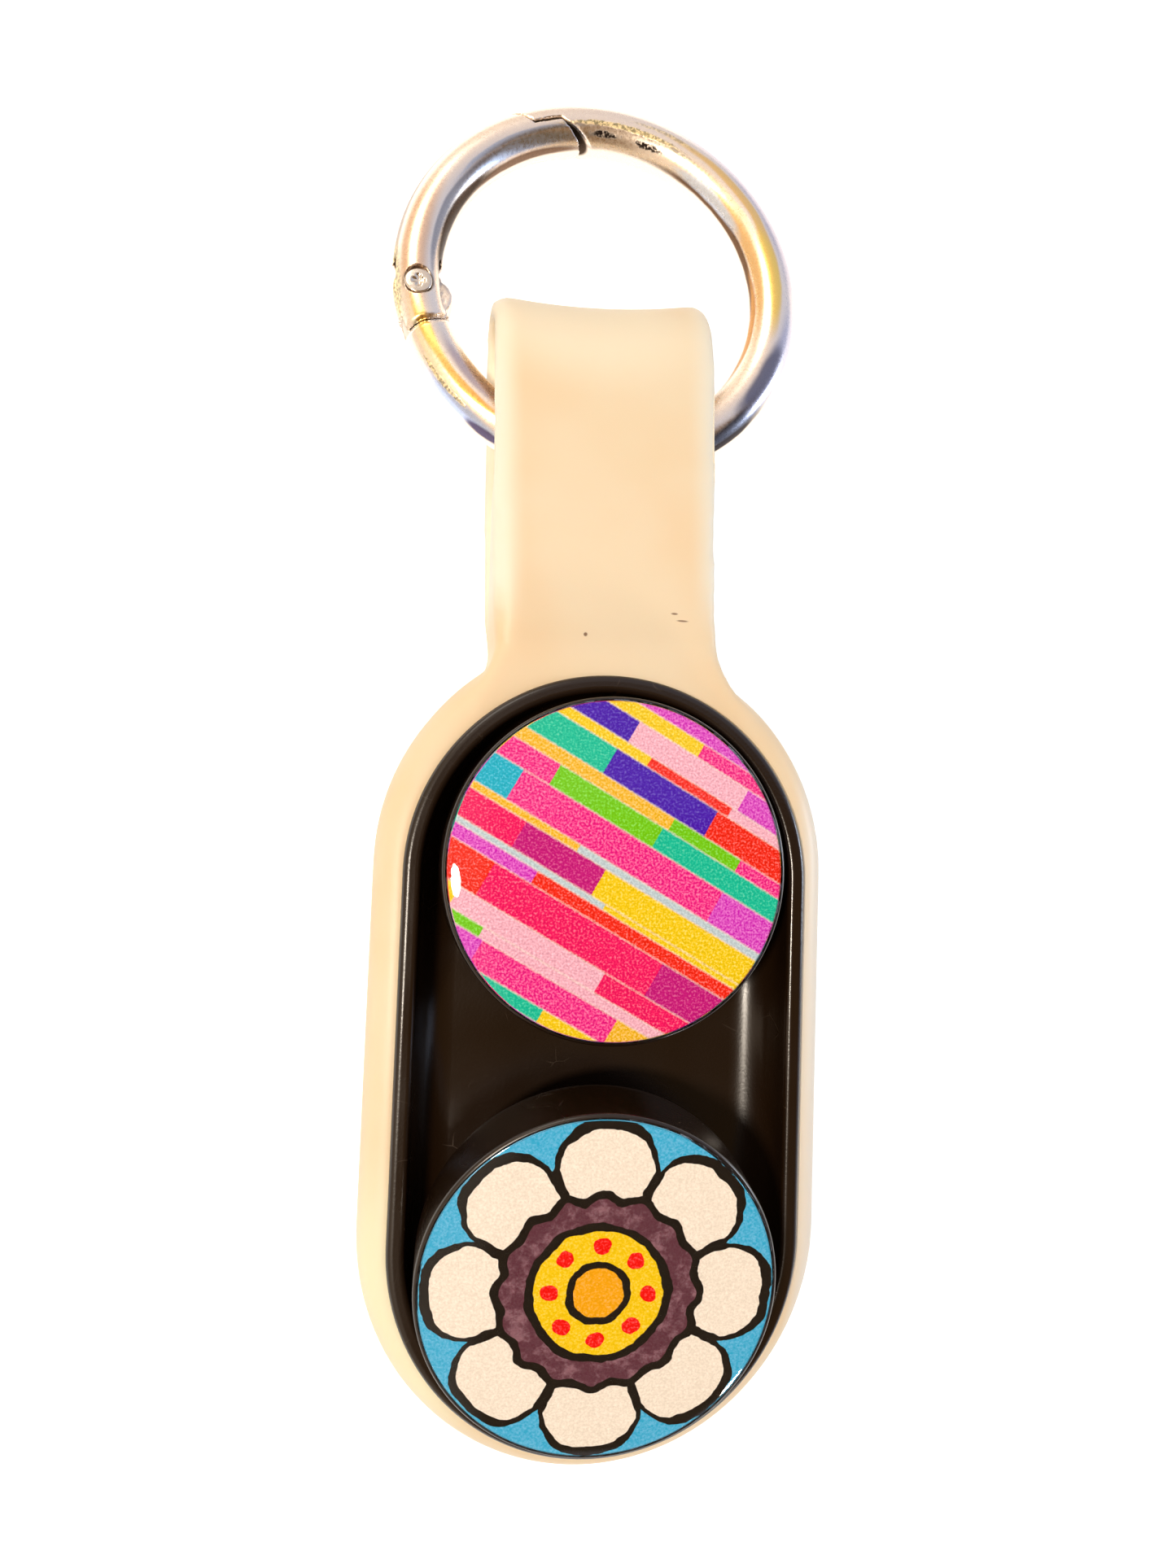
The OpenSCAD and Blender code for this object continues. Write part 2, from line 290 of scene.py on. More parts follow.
silicone = {
    # the last colour here is a painted highlight for the strap's edges
    "base": srgb(248, 226, 192), "warm": srgb(247, 218, 178), "pale": srgb(254, 246, 226),
    "speck": srgb(120, 84, 60), "grain": 0.22, "drift": 16.0, "roughness": 0.42,
    "strap": (-0.85, 38.0, 0.0),  # mm, where the strap's middle line starts
    "frontHeight": 8.0,  # mm, the marks lie above this
    # mm across and along the strap, where a painted highlight lies along its edges
    "paleLeft": (-7.2, -10.2), "paleRight": (7.6, 10.4), "paleStart": (0.0, 6.0),
    # broad patches of painted light and shade: centre, reach across and along in mm, colour, strength
    "tones": [
        ((-19.0, -26.0), (7.0, 13.0), srgb(255, 249, 216), 0.8),
        ((20.6, 0.0), (2.4, 60.0), srgb(246, 236, 222), 0.6),
        ((-3.5, 67.0), (10.0, 5.0), srgb(255, 240, 212), 0.7),
    ],
    # small marks on the front of the strap: centre, reach across and along in mm, strength
    "marks": [
        ((-2.9, 38.1), (0.17, 0.17), 0.9), ((5.3, 40.5), (0.3, 0.09), 0.8), ((6.1, 39.9), (0.5, 0.08), 0.8),
    ],
}
strapLean = math.radians(3)


def siliconeMaterial(look):
    material, tree, shader = newMaterial("creamSilicone", IOR=1.41, Subsurface_Weight=0.1,
                                         Subsurface_Radius=(0.004, 0.0026, 0.0018), Subsurface_Scale=0.5)
    grain = useGroup(tree, fineGrain, Size=look["grain"], Drift=look["drift"])
    specks = useGroup(tree, dustSpecks, Spacing=5.0, Radius=0.03, Amount=0.1)
    tone = remap(tree, grain["Tone"], 0.35, 0.65, smooth=True)
    color = mixColor(tree, tone, look["base"], look["warm"])
    place = localMm(tree, (0, 0, 0), Matrix.Identity(3))
    strapPlace = localMm(tree, Vector(look["strap"]) * mm, Matrix.Rotation(strapLean, 3, "Z"))
    front = calc(tree, "GREATER_THAN", splitVector(tree, place)["Z"], look["frontHeight"])
    marks = specks["Mask"]
    for centre, reach, strength in look["marks"]:
        marks = largest(tree, marks, product(tree, blob(tree, place, centre, reach, 0.4), strength, front))
    # the strap's long edges are paler: a painted highlight along them
    split = splitVector(tree, strapPlace)
    left = remap(tree, split["X"], *look["paleLeft"], smooth=True)
    right = remap(tree, split["X"], *look["paleRight"], 0.0, 0.7, smooth=True)
    start = remap(tree, split["Y"], *look["paleStart"], smooth=True)
    color = mixColor(tree, product(tree, largest(tree, left, right), start), color, look["pale"])
    # painted patches of light and shade
    for centre, reach, tone, strength in look["tones"]:
        color = mixColor(tree, product(tree, blob(tree, place, centre, reach, 0.5), strength), color, tone)
    color = mixColor(tree, marks, color, look["speck"])
    rough = remap(tree, grain["Height"], 0.3, 0.7, look["roughness"] - 0.05, look["roughness"] + 0.07)
    paint(tree, shader, color, rough)
    bump(tree, shader, grain["Height"], 0.12, 0.05)
    return material


blackPlastic = {
    "base": srgb(32, 19, 8), "dust": srgb(160, 140, 118),
    "specular": 0.5, "scratches": 0.42, "specks": 0.1,
}


def blackMaterial(name, look, grainSize, grainDepth, roughness):
    material, tree, shader = newMaterial(name, IOR=1.5, Specular_IOR_Level=look["specular"])
    grain = useGroup(tree, fineGrain, Size=grainSize, Drift=12.0)
    scratches = useGroup(tree, hairScratches, Size=5.0, Width=0.012, Amount=look["scratches"])
    specks = useGroup(tree, dustSpecks, Spacing=1.3, Radius=0.05, Amount=look["specks"])
    marks = largest(tree, product(tree, scratches["Mask"], 0.12), product(tree, specks["Mask"], 0.5))
    color = mixColor(tree, marks, look["base"], look["dust"])
    rough = remap(tree, grain["Tone"], 0.3, 0.7, roughness - 0.05, roughness + 0.08)
    paint(tree, shader, color, calc(tree, "ADD", rough, product(tree, scratches["Mask"], 0.12)))
    height = calc(tree, "SUBTRACT", grain["Height"], product(tree, scratches["Mask"], 0.4))
    bump(tree, shader, height, 0.35, grainDepth)
    return material


ringMetal = {
    "base": srgb(254, 238, 222), "dark": srgb(74, 60, 48), "pit": srgb(40, 32, 28),
    "olive": srgb(150, 138, 96), "straw": srgb(250, 226, 170), "cut": srgb(84, 68, 54), "roughness": 0.27,
    # mm: depth from the wire's middle line, and reach from the rivet's axis
    "cutDepth": (1.9, 2.14), "grimeReach": (1.32, 1.62),
    # painted reflections and painted shade in the plating's colour, in degrees round the ring and round the wire
    # (0 on top, outwards positive):
    # place round each, reach round each, colour
    "tints": [
        (30, 42, 36, 24, srgb(206, 196, 204)), (28, 2, 36, 10, srgb(254, 212, 142)),
        (28, -25, 34, 7, srgb(255, 238, 204)), (20, -46, 36, 14, srgb(246, 206, 150)),
        (26, -72, 40, 10, srgb(112, 84, 62)), (42, -56, 17, 13, srgb(224, 232, 248)),
        (119, -24, 24, 6, srgb(206, 206, 210)), (119, -46, 24, 15, srgb(214, 222, 236)),
        (119, -75, 26, 10, srgb(126, 100, 82)), (156, -36, 26, 9, srgb(176, 170, 168)),
        (157, -64, 27, 17, srgb(66, 52, 42)), (148, 64, 34, 12, srgb(178, 160, 148)),
        (199, 14, 15, 14, srgb(255, 212, 122)), (222, 14, 15, 9, srgb(250, 190, 112)),
        (222, -18, 15, 15, srgb(214, 194, 192)), (214, 34, 20, 7, srgb(255, 246, 214)),
        (225, 58, 13, 16, srgb(196, 208, 240)), (234, 70, 7, 12, srgb(96, 86, 112)),
        (313, 42, 17, 19, srgb(98, 98, 106)), (306, 62, 14, 9, srgb(60, 54, 56)),
        (337, 38, 17, 26, srgb(206, 200, 210)), (345, -66, 22, 9, srgb(196, 142, 84)),
        (4, -6, 18, 15, srgb(255, 220, 124)), (328, 18, 13, 20, srgb(132, 128, 140)),
        (172, 10, 22, 30, srgb(240, 206, 178)),
    ],
    # rough marks and pits left by casting: the same four angles, strength. The pits are dented, and their dark
    # colour is partly a painted dark reflection
    "cast": [(80, -17, 20, 6, 0.9), (184, 66, 12, 22, 0.7), (66, 4, 10, 5, 0.5), (217, 46, 9, 5, 0.8)],
    "pits": [(71, -41, 5, 8, 1.0), (86, -41, 5.5, 8, 1.0), (60, -22, 5, 4, 0.6)],
}
ringMount = mounts["key_ring"]
ringAxis = Vector(ringMount["axis"]).normalized()
ringAcross = Vector(joints["ring_swing"]["axis"]).normalized()
ringTurn = Matrix((ringAcross, ringAxis.cross(ringAcross), ringAxis)).transposed()
ringCentre = Vector(ringMount["pos_m"])
ringRadius = 17.64  # mm, to the middle of the wire
rivetPlace = Vector(joints["gate_open"]["pos_m"])


def ringSpot(tree, angles, theta, phi, reachTheta, reachPhi, soft=0.35):
    # an oval on the wire, measured the short way round the circle
    away = vectorCalc(tree, "SUBTRACT", angles, (theta, phi, 0))
    away = vectorCalc(tree, "WRAP", away, (180, 180, 1), (-180, -180, -1))
    return oval(tree, away, (reachTheta, reachPhi), soft)


def ringMarks(tree, angles, marks):
    spots = [product(tree, ringSpot(tree, angles, *mark[:4], 0.3), mark[4]) for mark in marks]
    return largest(tree, *spots)


def ringMaterial(look):
    # polished nickel with reflections and shade painted into its colour, placed round the ring and its wire
    material, tree, shader = newMaterial("polishedNickel", Metallic=1.0)
    place = localMm(tree, ringCentre, ringTurn)
    split = splitVector(tree, place)
    degrees = 180 / math.pi
    around = product(tree, calc(tree, "ARCTAN2", split["Y"], split["X"]), degrees)
    outward = calc(tree, "SUBTRACT", hypotenuse(tree, split["X"], split["Y"]), ringRadius)
    across = product(tree, calc(tree, "ARCTAN2", outward, split["Z"]), degrees)
    # both angles drift with noise that has no seam where the circle closes
    angles = addNode(tree, "ShaderNodeCombineXYZ", {0: around, 1: across, 2: 0.0}).outputs[0]
    angles = shifted(tree, angles, place, 0.25, (9, 8, 0), 3.0)
    rough = shifted(tree, angles, place, 2.2, (7, 9, 0), 3.0)
    color = look["base"]
    # painted reflections and painted shade, laid on as colour
    for *spot, tint in look["tints"]:
        color = mixColor(tree, ringSpot(tree, angles, *spot), color, tint)
    grain = useGroup(tree, fineGrain, Size=0.3, Drift=7.0)
    scratches = useGroup(tree, hairScratches, Size=1.8, Width=0.02, Amount=0.4)
    cast = ringMarks(tree, rough, look["cast"])
    pits = ringMarks(tree, rough, look["pits"])
    fleck = remap(tree, grain["Height"], 0.42, 0.58, smooth=True)
    color = mixColor(tree, cast, color, mixColor(tree, fleck, look["olive"], look["straw"]))
    # the pits are darkened: partly real pitting, partly a painted dark reflection
    paintedDarkPits = product(tree, pits, remap(tree, grain["Height"], 0.36, 0.5, 0.3, 1.0))
    color = mixColor(tree, paintedDarkPits, color, look["pit"])
    color = mixColor(tree, product(tree, scratches["Mask"], 0.25), color, look["dark"])
    # faces cut across the wire are dull and dark, and a ring round the rivet's head is darkened
    depth = hypotenuse(tree, outward, split["Z"])
    cut = remap(tree, depth, *look["cutDepth"], 1.0, 0.0, smooth=True)
    color = mixColor(tree, cut, color, look["cut"])
    pin = (rivetPlace - ringCentre) @ ringTurn / mm
    away = vectorCalc(tree, "MULTIPLY", vectorCalc(tree, "SUBTRACT", place, tuple(pin)), (1, 1, 0))
    rivetRingDark = remap(tree, vectorLength(tree, away), *look["grimeReach"], 0.85, 0.0, smooth=True)
    color = mixColor(tree, rivetRingDark, color, look["cut"])
    worn = largest(tree, cast, pits, cut)
    shine = remap(tree, grain["Height"], 0.3, 0.7, look["roughness"] - 0.04, look["roughness"] + 0.08)
    paint(tree, shader, color, calc(tree, "ADD", shine, product(tree, worn, 0.22)))
    height = product(tree, grain["Height"], calc(tree, "ADD", 0.35, product(tree, worn, 3.0)))
    bump(tree, shader, calc(tree, "SUBTRACT", height, product(tree, pits, 1.5)), 0.3, 0.03)
    return material


steel = {"base": srgb(226, 214, 200), "dark": srgb(92, 84, 76)}


def steelMaterial(name, look, roughness, wear):
    material, tree, shader = newMaterial(name, Metallic=1.0)
    grain = useGroup(tree, fineGrain, Size=0.35, Drift=7.0)
    scratches = useGroup(tree, hairScratches, Size=1.8, Width=0.02, Amount=wear)
    pits = useGroup(tree, dustSpecks, Spacing=0.9, Radius=0.07, Amount=0.12)
    marks = largest(tree, product(tree, scratches["Mask"], 0.35), product(tree, pits["Mask"], 0.6))
    rough = remap(tree, grain["Height"], 0.3, 0.7, roughness - 0.05, roughness + 0.1)
    rough = calc(tree, "ADD", rough, product(tree, marks, 0.25))
    paint(tree, shader, mixColor(tree, marks, look["base"], look["dark"]), rough)
    bump(tree, shader, calc(tree, "SUBTRACT", grain["Height"], product(tree, pits["Mask"], 1.5)), 0.3, 0.02)
    return material


def steps(tree, value, stops):
    # a ramp of hard steps: stops are (position, colour)
    ramp = tree.nodes.new("ShaderNodeValToRGB")
    ramp.color_ramp.interpolation = "CONSTANT"
    bar = ramp.color_ramp.elements
    while len(bar) > 1:
        bar.remove(bar[-1])
    bar[0].position = stops[0][0]
    bar[0].color = stops[0][1]
    for position, color in stops[1:]:
        bar.new(position).color = color
    tree.links.new(value, ramp.inputs[0])
    return ramp.outputs["Color"]


stripePrint = {
    "turn": math.radians(-29), "halfWidth": 20.0, "seamWidth": 0.1, "seam": srgb(250, 228, 214),
    "pink": srgb(254, 76, 152), "magenta": srgb(254, 18, 102), "orchid": srgb(228, 92, 206),
    "red": srgb(254, 50, 36), "yellow": srgb(255, 212, 18), "amber": srgb(255, 196, 74),
    "violet": srgb(76, 22, 184), "teal": srgb(16, 200, 162), "aqua": srgb(14, 184, 212),
    "green": srgb(120, 212, 18), "blush": srgb(255, 190, 208), "plum": srgb(206, 30, 130),
    "sky": srgb(6, 160, 240), "silver": srgb(200, 216, 222),
    # each row: height in mm, then (colour, end of the block in mm across) pairs
    "rows": [
        (2.6, [("aqua", -2.0), ("sky", 4.0), ("green", 20)]),
        (1.3, [("teal", 0.5), ("yellow", 20)]),
        (2.4, [("orchid", -7.0), ("pink", 6.5), ("amber", 20)]),
        (1.0, [("green", -7.5), ("blush", 20)]),
        (1.9, [("yellow", -11.0), ("blush", 3.5), ("magenta", 20)]),
        (3.3, [("red", -9.5), ("magenta", 7.5), ("plum", 20)]),
        (1.2, [("orchid", -6.0), ("red", 20)]),
        (0.6, [("silver", 0.5), ("yellow", 20)]),
        (2.5, [("magenta", -9.0), ("plum", -1.0), ("yellow", 20)]),
        (0.7, [("amber", -4.0), ("silver", 20)]),
        (3.0, [("aqua", -11.5), ("pink", 9.0), ("orchid", 20)]),
        (2.1, [("pink", -9.0), ("green", 1.5), ("teal", 20)]),
        (1.2, [("amber", 2.0), ("green", 9.0), ("pink", 20)]),
        (2.6, [("teal", -5.5), ("violet", 5.0), ("red", 20)]),
        (0.9, [("yellow", -2.5), ("red", 6.0), ("blush", 20)]),
        (2.2, [("violet", -5.0), ("blush", 6.5), ("orchid", 20)]),
        (1.4, [("yellow", 1.0), ("pink", 20)]),
        (4.0, [("orchid", 20)]),
    ],
}


def grainyInk(tree, color, depth):
    # the fine light and dark flecks of a printed sheet
    grain = useGroup(tree, fineGrain, Size=0.2, Drift=8.0)
    fleck = remap(tree, grain["Height"], 0.38, 0.66, -depth, depth)
    return addNode(tree, "ShaderNodeHueSaturation", {
        "Color": color, "Value": calc(tree, "ADD", 1.0, fleck),
        "Saturation": calc(tree, "SUBTRACT", 1.0, product(tree, fleck, 0.9)),
    }).outputs["Color"]


def stripeMaterial(look, centre, turn):
    material, tree, shader = newMaterial("stripePrint", Roughness=0.45, Specular_IOR_Level=0.1)
    place = localMm(tree, centre, turn @ Matrix.Rotation(look["turn"], 3, "Z"))
    place = warped(tree, place, 6.0, (0.22, 0.22, 0))
    split = splitVector(tree, place)
    total = sum(row[0] for row in look["rows"])
    half = look["halfWidth"]
    across = remap(tree, split["X"], -half, half)
    upward = remap(tree, split["Y"], -total / 2, total / 2)
    rowsDone, position = [], 0.0
    for height, blocks in look["rows"]:
        rowsDone.append((position / total, blocks))
        position += height
    color = None
    for layer in range(3):
        stops = [(low, look[blocks[min(layer, len(blocks) - 1)][0]]) for low, blocks in rowsDone]
        shade = steps(tree, upward, stops)
        if color is None:
            color = shade
            continue
        ends = []
        for low, blocks in rowsDone:
            end = blocks[min(layer - 1, len(blocks) - 1)][1]
            value = (end + half) / (2 * half)
            ends.append((low, (value, value, value, 1)))
        edge = addNode(tree, "ShaderNodeSeparateColor", {"Color": steps(tree, upward, ends)}).outputs["Red"]
        past = calc(tree, "GREATER_THAN", across, edge)
        color = mixColor(tree, past, color, shade)
    # pale hairlines where the blocks of ink meet
    seams = [(low, (index % 2, index % 2, index % 2, 1)) for index, (low, blocks) in enumerate(rowsDone)]
    above = steps(tree, calc(tree, "ADD", upward, look["seamWidth"] / total), seams)
    below = steps(tree, calc(tree, "SUBTRACT", upward, look["seamWidth"] / total), seams)
    line = calc(tree, "ABSOLUTE", calc(tree, "SUBTRACT", above, below))
    color = mixColor(tree, product(tree, line, 0.4), color, look["seam"])
    paint(tree, shader, grainyInk(tree, color, 0.2))
    return material


rosettePrint = {
    "turn": math.radians(-8),
    "cream": srgb(255, 240, 222), "ink": srgb(12, 8, 6), "yellow": srgb(255, 208, 24),
    "orange": srgb(255, 172, 16), "red": srgb(254, 12, 8), "plum": srgb(96, 54, 66),
    "mauve": srgb(156, 112, 122), "sky": srgb(84, 186, 228), "grey": srgb(214, 210, 206),
    # sizes in mm
    "petals": 8, "petalReach": 14.3, "petalDip": 3.4, "line": 0.42, "shadeFrom": 9.2, "shadeTo": 7.0,
    "collar": 7.9, "scallop": 0.28, "collarLine": 0.75, "discLine": 6.1, "disc": 5.4,
    "dotPlace": 4.1, "dot": 0.72, "heartLine": 2.75, "heart": 2.1,
}


def rosetteMaterial(look, centre, turn):
    material, tree, shader = newMaterial("rosettePrint", Roughness=0.45, Specular_IOR_Level=0.1)
    place = localMm(tree, centre, turn @ Matrix.Rotation(look["turn"], 3, "Z"))
    place = warped(tree, place, 0.5, (0.9, 0.9, 0), 3.0)
    split = splitVector(tree, place)
    radius = hypotenuse(tree, split["X"], split["Y"])
    angle = calc(tree, "ARCTAN2", split["Y"], split["X"])
    petalAngle = 2 * math.pi / look["petals"]
    # the share of a petal from its own middle, and the distance from the seam beside it
    share = product(tree, calc(tree, "ADD", angle, math.pi), 1 / petalAngle)
    inside = calc(tree, "SUBTRACT", calc(tree, "FRACT", share), 0.5)
    fromMiddle = calc(tree, "ABSOLUTE", inside)
    sideways = product(tree, calc(tree, "SUBTRACT", 0.5, fromMiddle), petalAngle, radius)
    # rounded tip of each petal
    bulge = calc(tree, "POWER", product(tree, fromMiddle, 2.0), 3.0)
    tip = calc(tree, "SUBTRACT", look["petalReach"], product(tree, bulge, look["petalDip"]))
    shadeBand = remap(tree, radius, look["shadeFrom"], look["shadeTo"], 0.0, 0.35, smooth=True)
    petal = mixColor(tree, shadeBand, look["cream"], look["grey"])
    color = mixColor(tree, calc(tree, "GREATER_THAN", radius, tip), petal, look["sky"])
    fromTip = calc(tree, "ABSOLUTE", calc(tree, "SUBTRACT", radius, tip))
    rim = calc(tree, "LESS_THAN", fromTip, look["line"])
    seam = calc(tree, "LESS_THAN", sideways, look["line"])
    seam = product(tree, seam, calc(tree, "LESS_THAN", radius, tip))
    color = mixColor(tree, largest(tree, rim, seam), color, look["ink"])
    # scalloped plum collar and yellow disc
    wave = calc(tree, "COSINE", product(tree, angle, look["petals"] * 2))
    collar = calc(tree, "ADD", product(tree, wave, look["scallop"]), look["collar"])
    mottle = remap(tree, noise(tree, place, 0.55, 4, 0.7), 0.46, 0.66, 0.0, 0.75, smooth=True)
    plum = mixColor(tree, mottle, look["plum"], look["mauve"])
    collarEdge = calc(tree, "ADD", collar, look["collarLine"])
    ink = look["ink"]
    discs = ((collarEdge, ink), (collar, plum), (look["discLine"], ink), (look["disc"], look["yellow"]))
    for reach, shade in discs:
        color = mixColor(tree, calc(tree, "LESS_THAN", radius, reach), color, shade)
    # a red dot in line with each petal, and the orange heart
    bearing = product(tree, inside, petalAngle)
    dotX = calc(tree, "SUBTRACT", product(tree, radius, calc(tree, "COSINE", bearing)), look["dotPlace"])
    dotY = product(tree, radius, calc(tree, "SINE", bearing))
    dot = calc(tree, "LESS_THAN", hypotenuse(tree, dotX, dotY), look["dot"])
    color = mixColor(tree, dot, color, look["red"])
    for reach, shade in ((look["heartLine"], ink), (look["heart"], look["orange"])):
        color = mixColor(tree, calc(tree, "LESS_THAN", radius, reach), color, shade)
    paint(tree, shader, grainyInk(tree, color, 0.1))
    return material


def domeMaterial():
    # clear cast resin that lets light through to the print below
    material, tree, shader = newMaterial("clearResin", Transmission_Weight=1.0, IOR=1.36, Roughness=0.02,
                                         Base_Color=(1, 1, 1, 1))
    grain = useGroup(tree, fineGrain, Size=2.5, Drift=9.0)
    bump(tree, shader, grain["Height"], 0.05, 0.05)
    clear = addNode(tree, "ShaderNodeBsdfTransparent")
    path = addNode(tree, "ShaderNodeLightPath").outputs
    through = largest(tree, path["Is Shadow Ray"], path["Is Diffuse Ray"])
    mix = addNode(tree, "ShaderNodeMixShader", {0: through, 1: shader.outputs[0], 2: clear.outputs[0]})
    tree.links.new(mix.outputs[0], tree.nodes["Material Output"].inputs["Surface"])
    return material


room = {
    "left": (1.0, 0.81, 0.61, 1), "softLeft": (1.0, 0.93, 0.84, 1),
    "right": (0.62, 0.67, 0.84, 1), "near": (0.2, 0.11, 0.04, 1),
    "soft": 0.3, "shine": 0.95,  # strength on matt surfaces and in reflections
    "floorSize": 1.2, "floorDrop": 0.0002, "floorGlow": 0.75,
    "floorColor": srgb(225, 224, 222),
}


def makeFloor(look):
    size, drop = look["floorSize"], -look["floorDrop"]
    mesh = bpy.data.meshes.new("floor")
    corners = [(-size, -size, drop), (size, -size, drop), (size, size, drop), (-size, size, drop)]
    mesh.from_pydata(corners, [], [(0, 1, 2, 3)])
    floor = bpy.data.objects.new("floor", mesh)
    scene.collection.objects.link(floor)
    material, tree, shader = newMaterial("paleFloor", Roughness=0.8, Base_Color=look["floorColor"])
    path = addNode(tree, "ShaderNodeLightPath").outputs
    seen = largest(tree, path["Is Camera Ray"], path["Is Glossy Ray"], path["Is Transmission Ray"])
    strength = product(tree, seen, look["floorGlow"])
    glow = addNode(tree, "ShaderNodeEmission", {"Color": (1, 1, 1, 1), "Strength": strength})
    both = addNode(tree, "ShaderNodeAddShader", {0: shader.outputs[0], 1: glow.outputs[0]})
    tree.links.new(both.outputs[0], tree.nodes["Material Output"].inputs["Surface"])
    mesh.materials.append(material)


def makeWorld(look):
    world = bpy.data.worlds.new("softRoom")
    scene.world = world
    world.use_nodes = True
    tree = world.node_tree
    tree.nodes.clear()
    path = addNode(tree, "ShaderNodeLightPath").outputs
    place = addNode(tree, "ShaderNodeTexCoord").outputs["Generated"]
    ways = splitVector(tree, warped(tree, place, 3.0, (0.16, 0.16, 0)))
    # warm walls on the left, cool on the right, and somebody's dark shape leaning over from the near side
    side = remap(tree, ways["X"], -0.5, 0.7, smooth=True)
    warm = mixColor(tree, path["Is Glossy Ray"], look["softLeft"], look["left"])
    tint = mixColor(tree, side, warm, look["right"])
    shape = product(
        tree,
        remap(tree, ways["X"], -0.26, -0.16, smooth=True),
        remap(tree, ways["X"], 0.78, 0.9, 1.0, 0.0, smooth=True),
        remap(tree, ways["Y"], 0.1, 0.22, 1.0, 0.0, smooth=True),
        remap(tree, ways["Z"], 0.2, 0.3, smooth=True),
        calc(tree, "SUBTRACT", 1.0, path["Is Diffuse Ray"]),
    )
    tint = mixColor(tree, shape, tint, look["near"])
    extra = product(tree, path["Is Glossy Ray"], look["shine"] - look["soft"])
    strength = calc(tree, "ADD", look["soft"], extra)
    light = addNode(tree, "ShaderNodeBackground", {"Color": tint, "Strength": strength})
    white = addNode(tree, "ShaderNodeBackground", {"Color": (1, 1, 1, 1), "Strength": 1.0})
    shaders = {0: path["Is Camera Ray"], 1: light.outputs[0], 2: white.outputs[0]}
    mix = addNode(tree, "ShaderNodeMixShader", shaders)
    out = addNode(tree, "ShaderNodeOutputWorld")
    tree.links.new(mix.outputs[0], out.inputs["Surface"])


def makeLamp(name, place, target, size, power, color):
    # place, target and size in mm, power in watts
    data = bpy.data.lights.new(name, "AREA")
    data.shape = "ELLIPSE"
    data.size, data.size_y = size[0] * mm, size[1] * mm
    data.energy = power
    data.color = color
    lamp = bpy.data.objects.new(name, data)
    lamp.location = Vector(place) * mm
    lamp.rotation_euler = (Vector(target) - Vector(place)).to_track_quat("-Z", "Y").to_euler()
    scene.collection.objects.link(lamp)


makeFloor(room)
makeWorld(room)
makeLamp("keyLamp", (-165, -10, 370), (0, 15, 0), (48, 48), 1.12, (1.0, 0.88, 0.74))
makeLamp("backLamp", (-150, 330, 260), (0, 30, 0), (180, 180), 0.35, (1.0, 0.96, 0.9))
makeLamp("coolLamp", (400, 60, 62), (0, 20, 6), (150, 60), 0.58, (0.74, 0.85, 1.0))
makeLamp("glintLamp", (200, -328, 115), (0, 0, 10), (40, 40), 0.22, (1.0, 0.97, 0.92))
print("camera, floor and lamps are in place")


def meshFromBmesh(name, bm, material):
    mesh = bpy.data.meshes.new(name)
    bm.to_mesh(mesh)
    bm.free()
    piece = bpy.data.objects.new(name, mesh)
    scene.collection.objects.link(piece)
    mesh.shade_smooth()
    mesh.materials.append(material)
    return piece


def mergedCopy(nodeNames, name, material):
    # one closed mesh from copies of CAD nodes
    bm = bmesh.new()
    for node in nodeNames:
        bm.from_mesh(frame["nodes"][node].data)
    bmesh.ops.remove_doubles(bm, verts=bm.verts, dist=0.0005 * mm)
    bmesh.ops.recalc_face_normals(bm, faces=bm.faces)
    return meshFromBmesh(name, bm, material)


def remeshSmooth(piece, voxel, rounds):
    # even quads all over, eased by the given rounds of smoothing
    remesh = piece.modifiers.new("even", "REMESH")
    remesh.mode = "VOXEL"
    remesh.voxel_size = voxel * mm
    remesh.use_smooth_shade = True
    relax = piece.modifiers.new("relax", "SMOOTH")
    relax.factor = 0.5
    relax.iterations = rounds
    graph = bpy.context.evaluated_depsgraph_get()
    done = bpy.data.meshes.new_from_object(piece.evaluated_get(graph))
    piece.modifiers.clear()
    old = piece.data
    piece.data = done
    bpy.data.meshes.remove(old)


def points(piece):
    data = np.zeros(len(piece.data.vertices) * 3)
    piece.data.vertices.foreach_get("co", data)
    return data.reshape(-1, 3) / mm


def setPoints(piece, data):
    piece.data.vertices.foreach_set("co", (data * mm).ravel())
    piece.data.update()


def smoothstep(value, low, high):
    t = np.clip((value - low) / (high - low), 0, 1)
    return t * t * (3 - 2 * t)


def roundedLine(corners, guard=0.06, stepsPerArc=5):
    # open profile from (x, z, radius) corners: each arc keeps a short straight guard at both ends
    line = [np.array(corners[0][:2], float)]
    for index in range(1, len(corners) - 1):
        here = np.array(corners[index][:2], float)
        before = np.array(corners[index - 1][:2], float)
        after = np.array(corners[index + 1][:2], float)
        radius = corners[index][2]
        a = (before - here) / np.linalg.norm(before - here)
        b = (after - here) / np.linalg.norm(after - here)
        half = math.acos(np.clip(np.dot(a, b), -1, 1)) / 2
        reach = radius / math.tan(half)
        centre = here + (a + b) / np.linalg.norm(a + b) * radius / math.sin(half)
        start, stop = here + a * reach, here + b * reach
        line.append(start + a * guard)
        angleA = math.atan2(*(start - centre)[::-1])
        angleB = math.atan2(*(stop - centre)[::-1])
        turn = (angleB - angleA + math.pi) % (2 * math.pi) - math.pi
        count = max(3, int(stepsPerArc * math.sqrt(max(radius, 0.1))) + 2)
        for k in range(count + 1):
            angle = angleA + turn * k / count
            line.append(centre + radius * np.array((math.cos(angle), math.sin(angle))))
        line.append(stop + b * guard)
    line.append(np.array(corners[-1][:2], float))
    return line


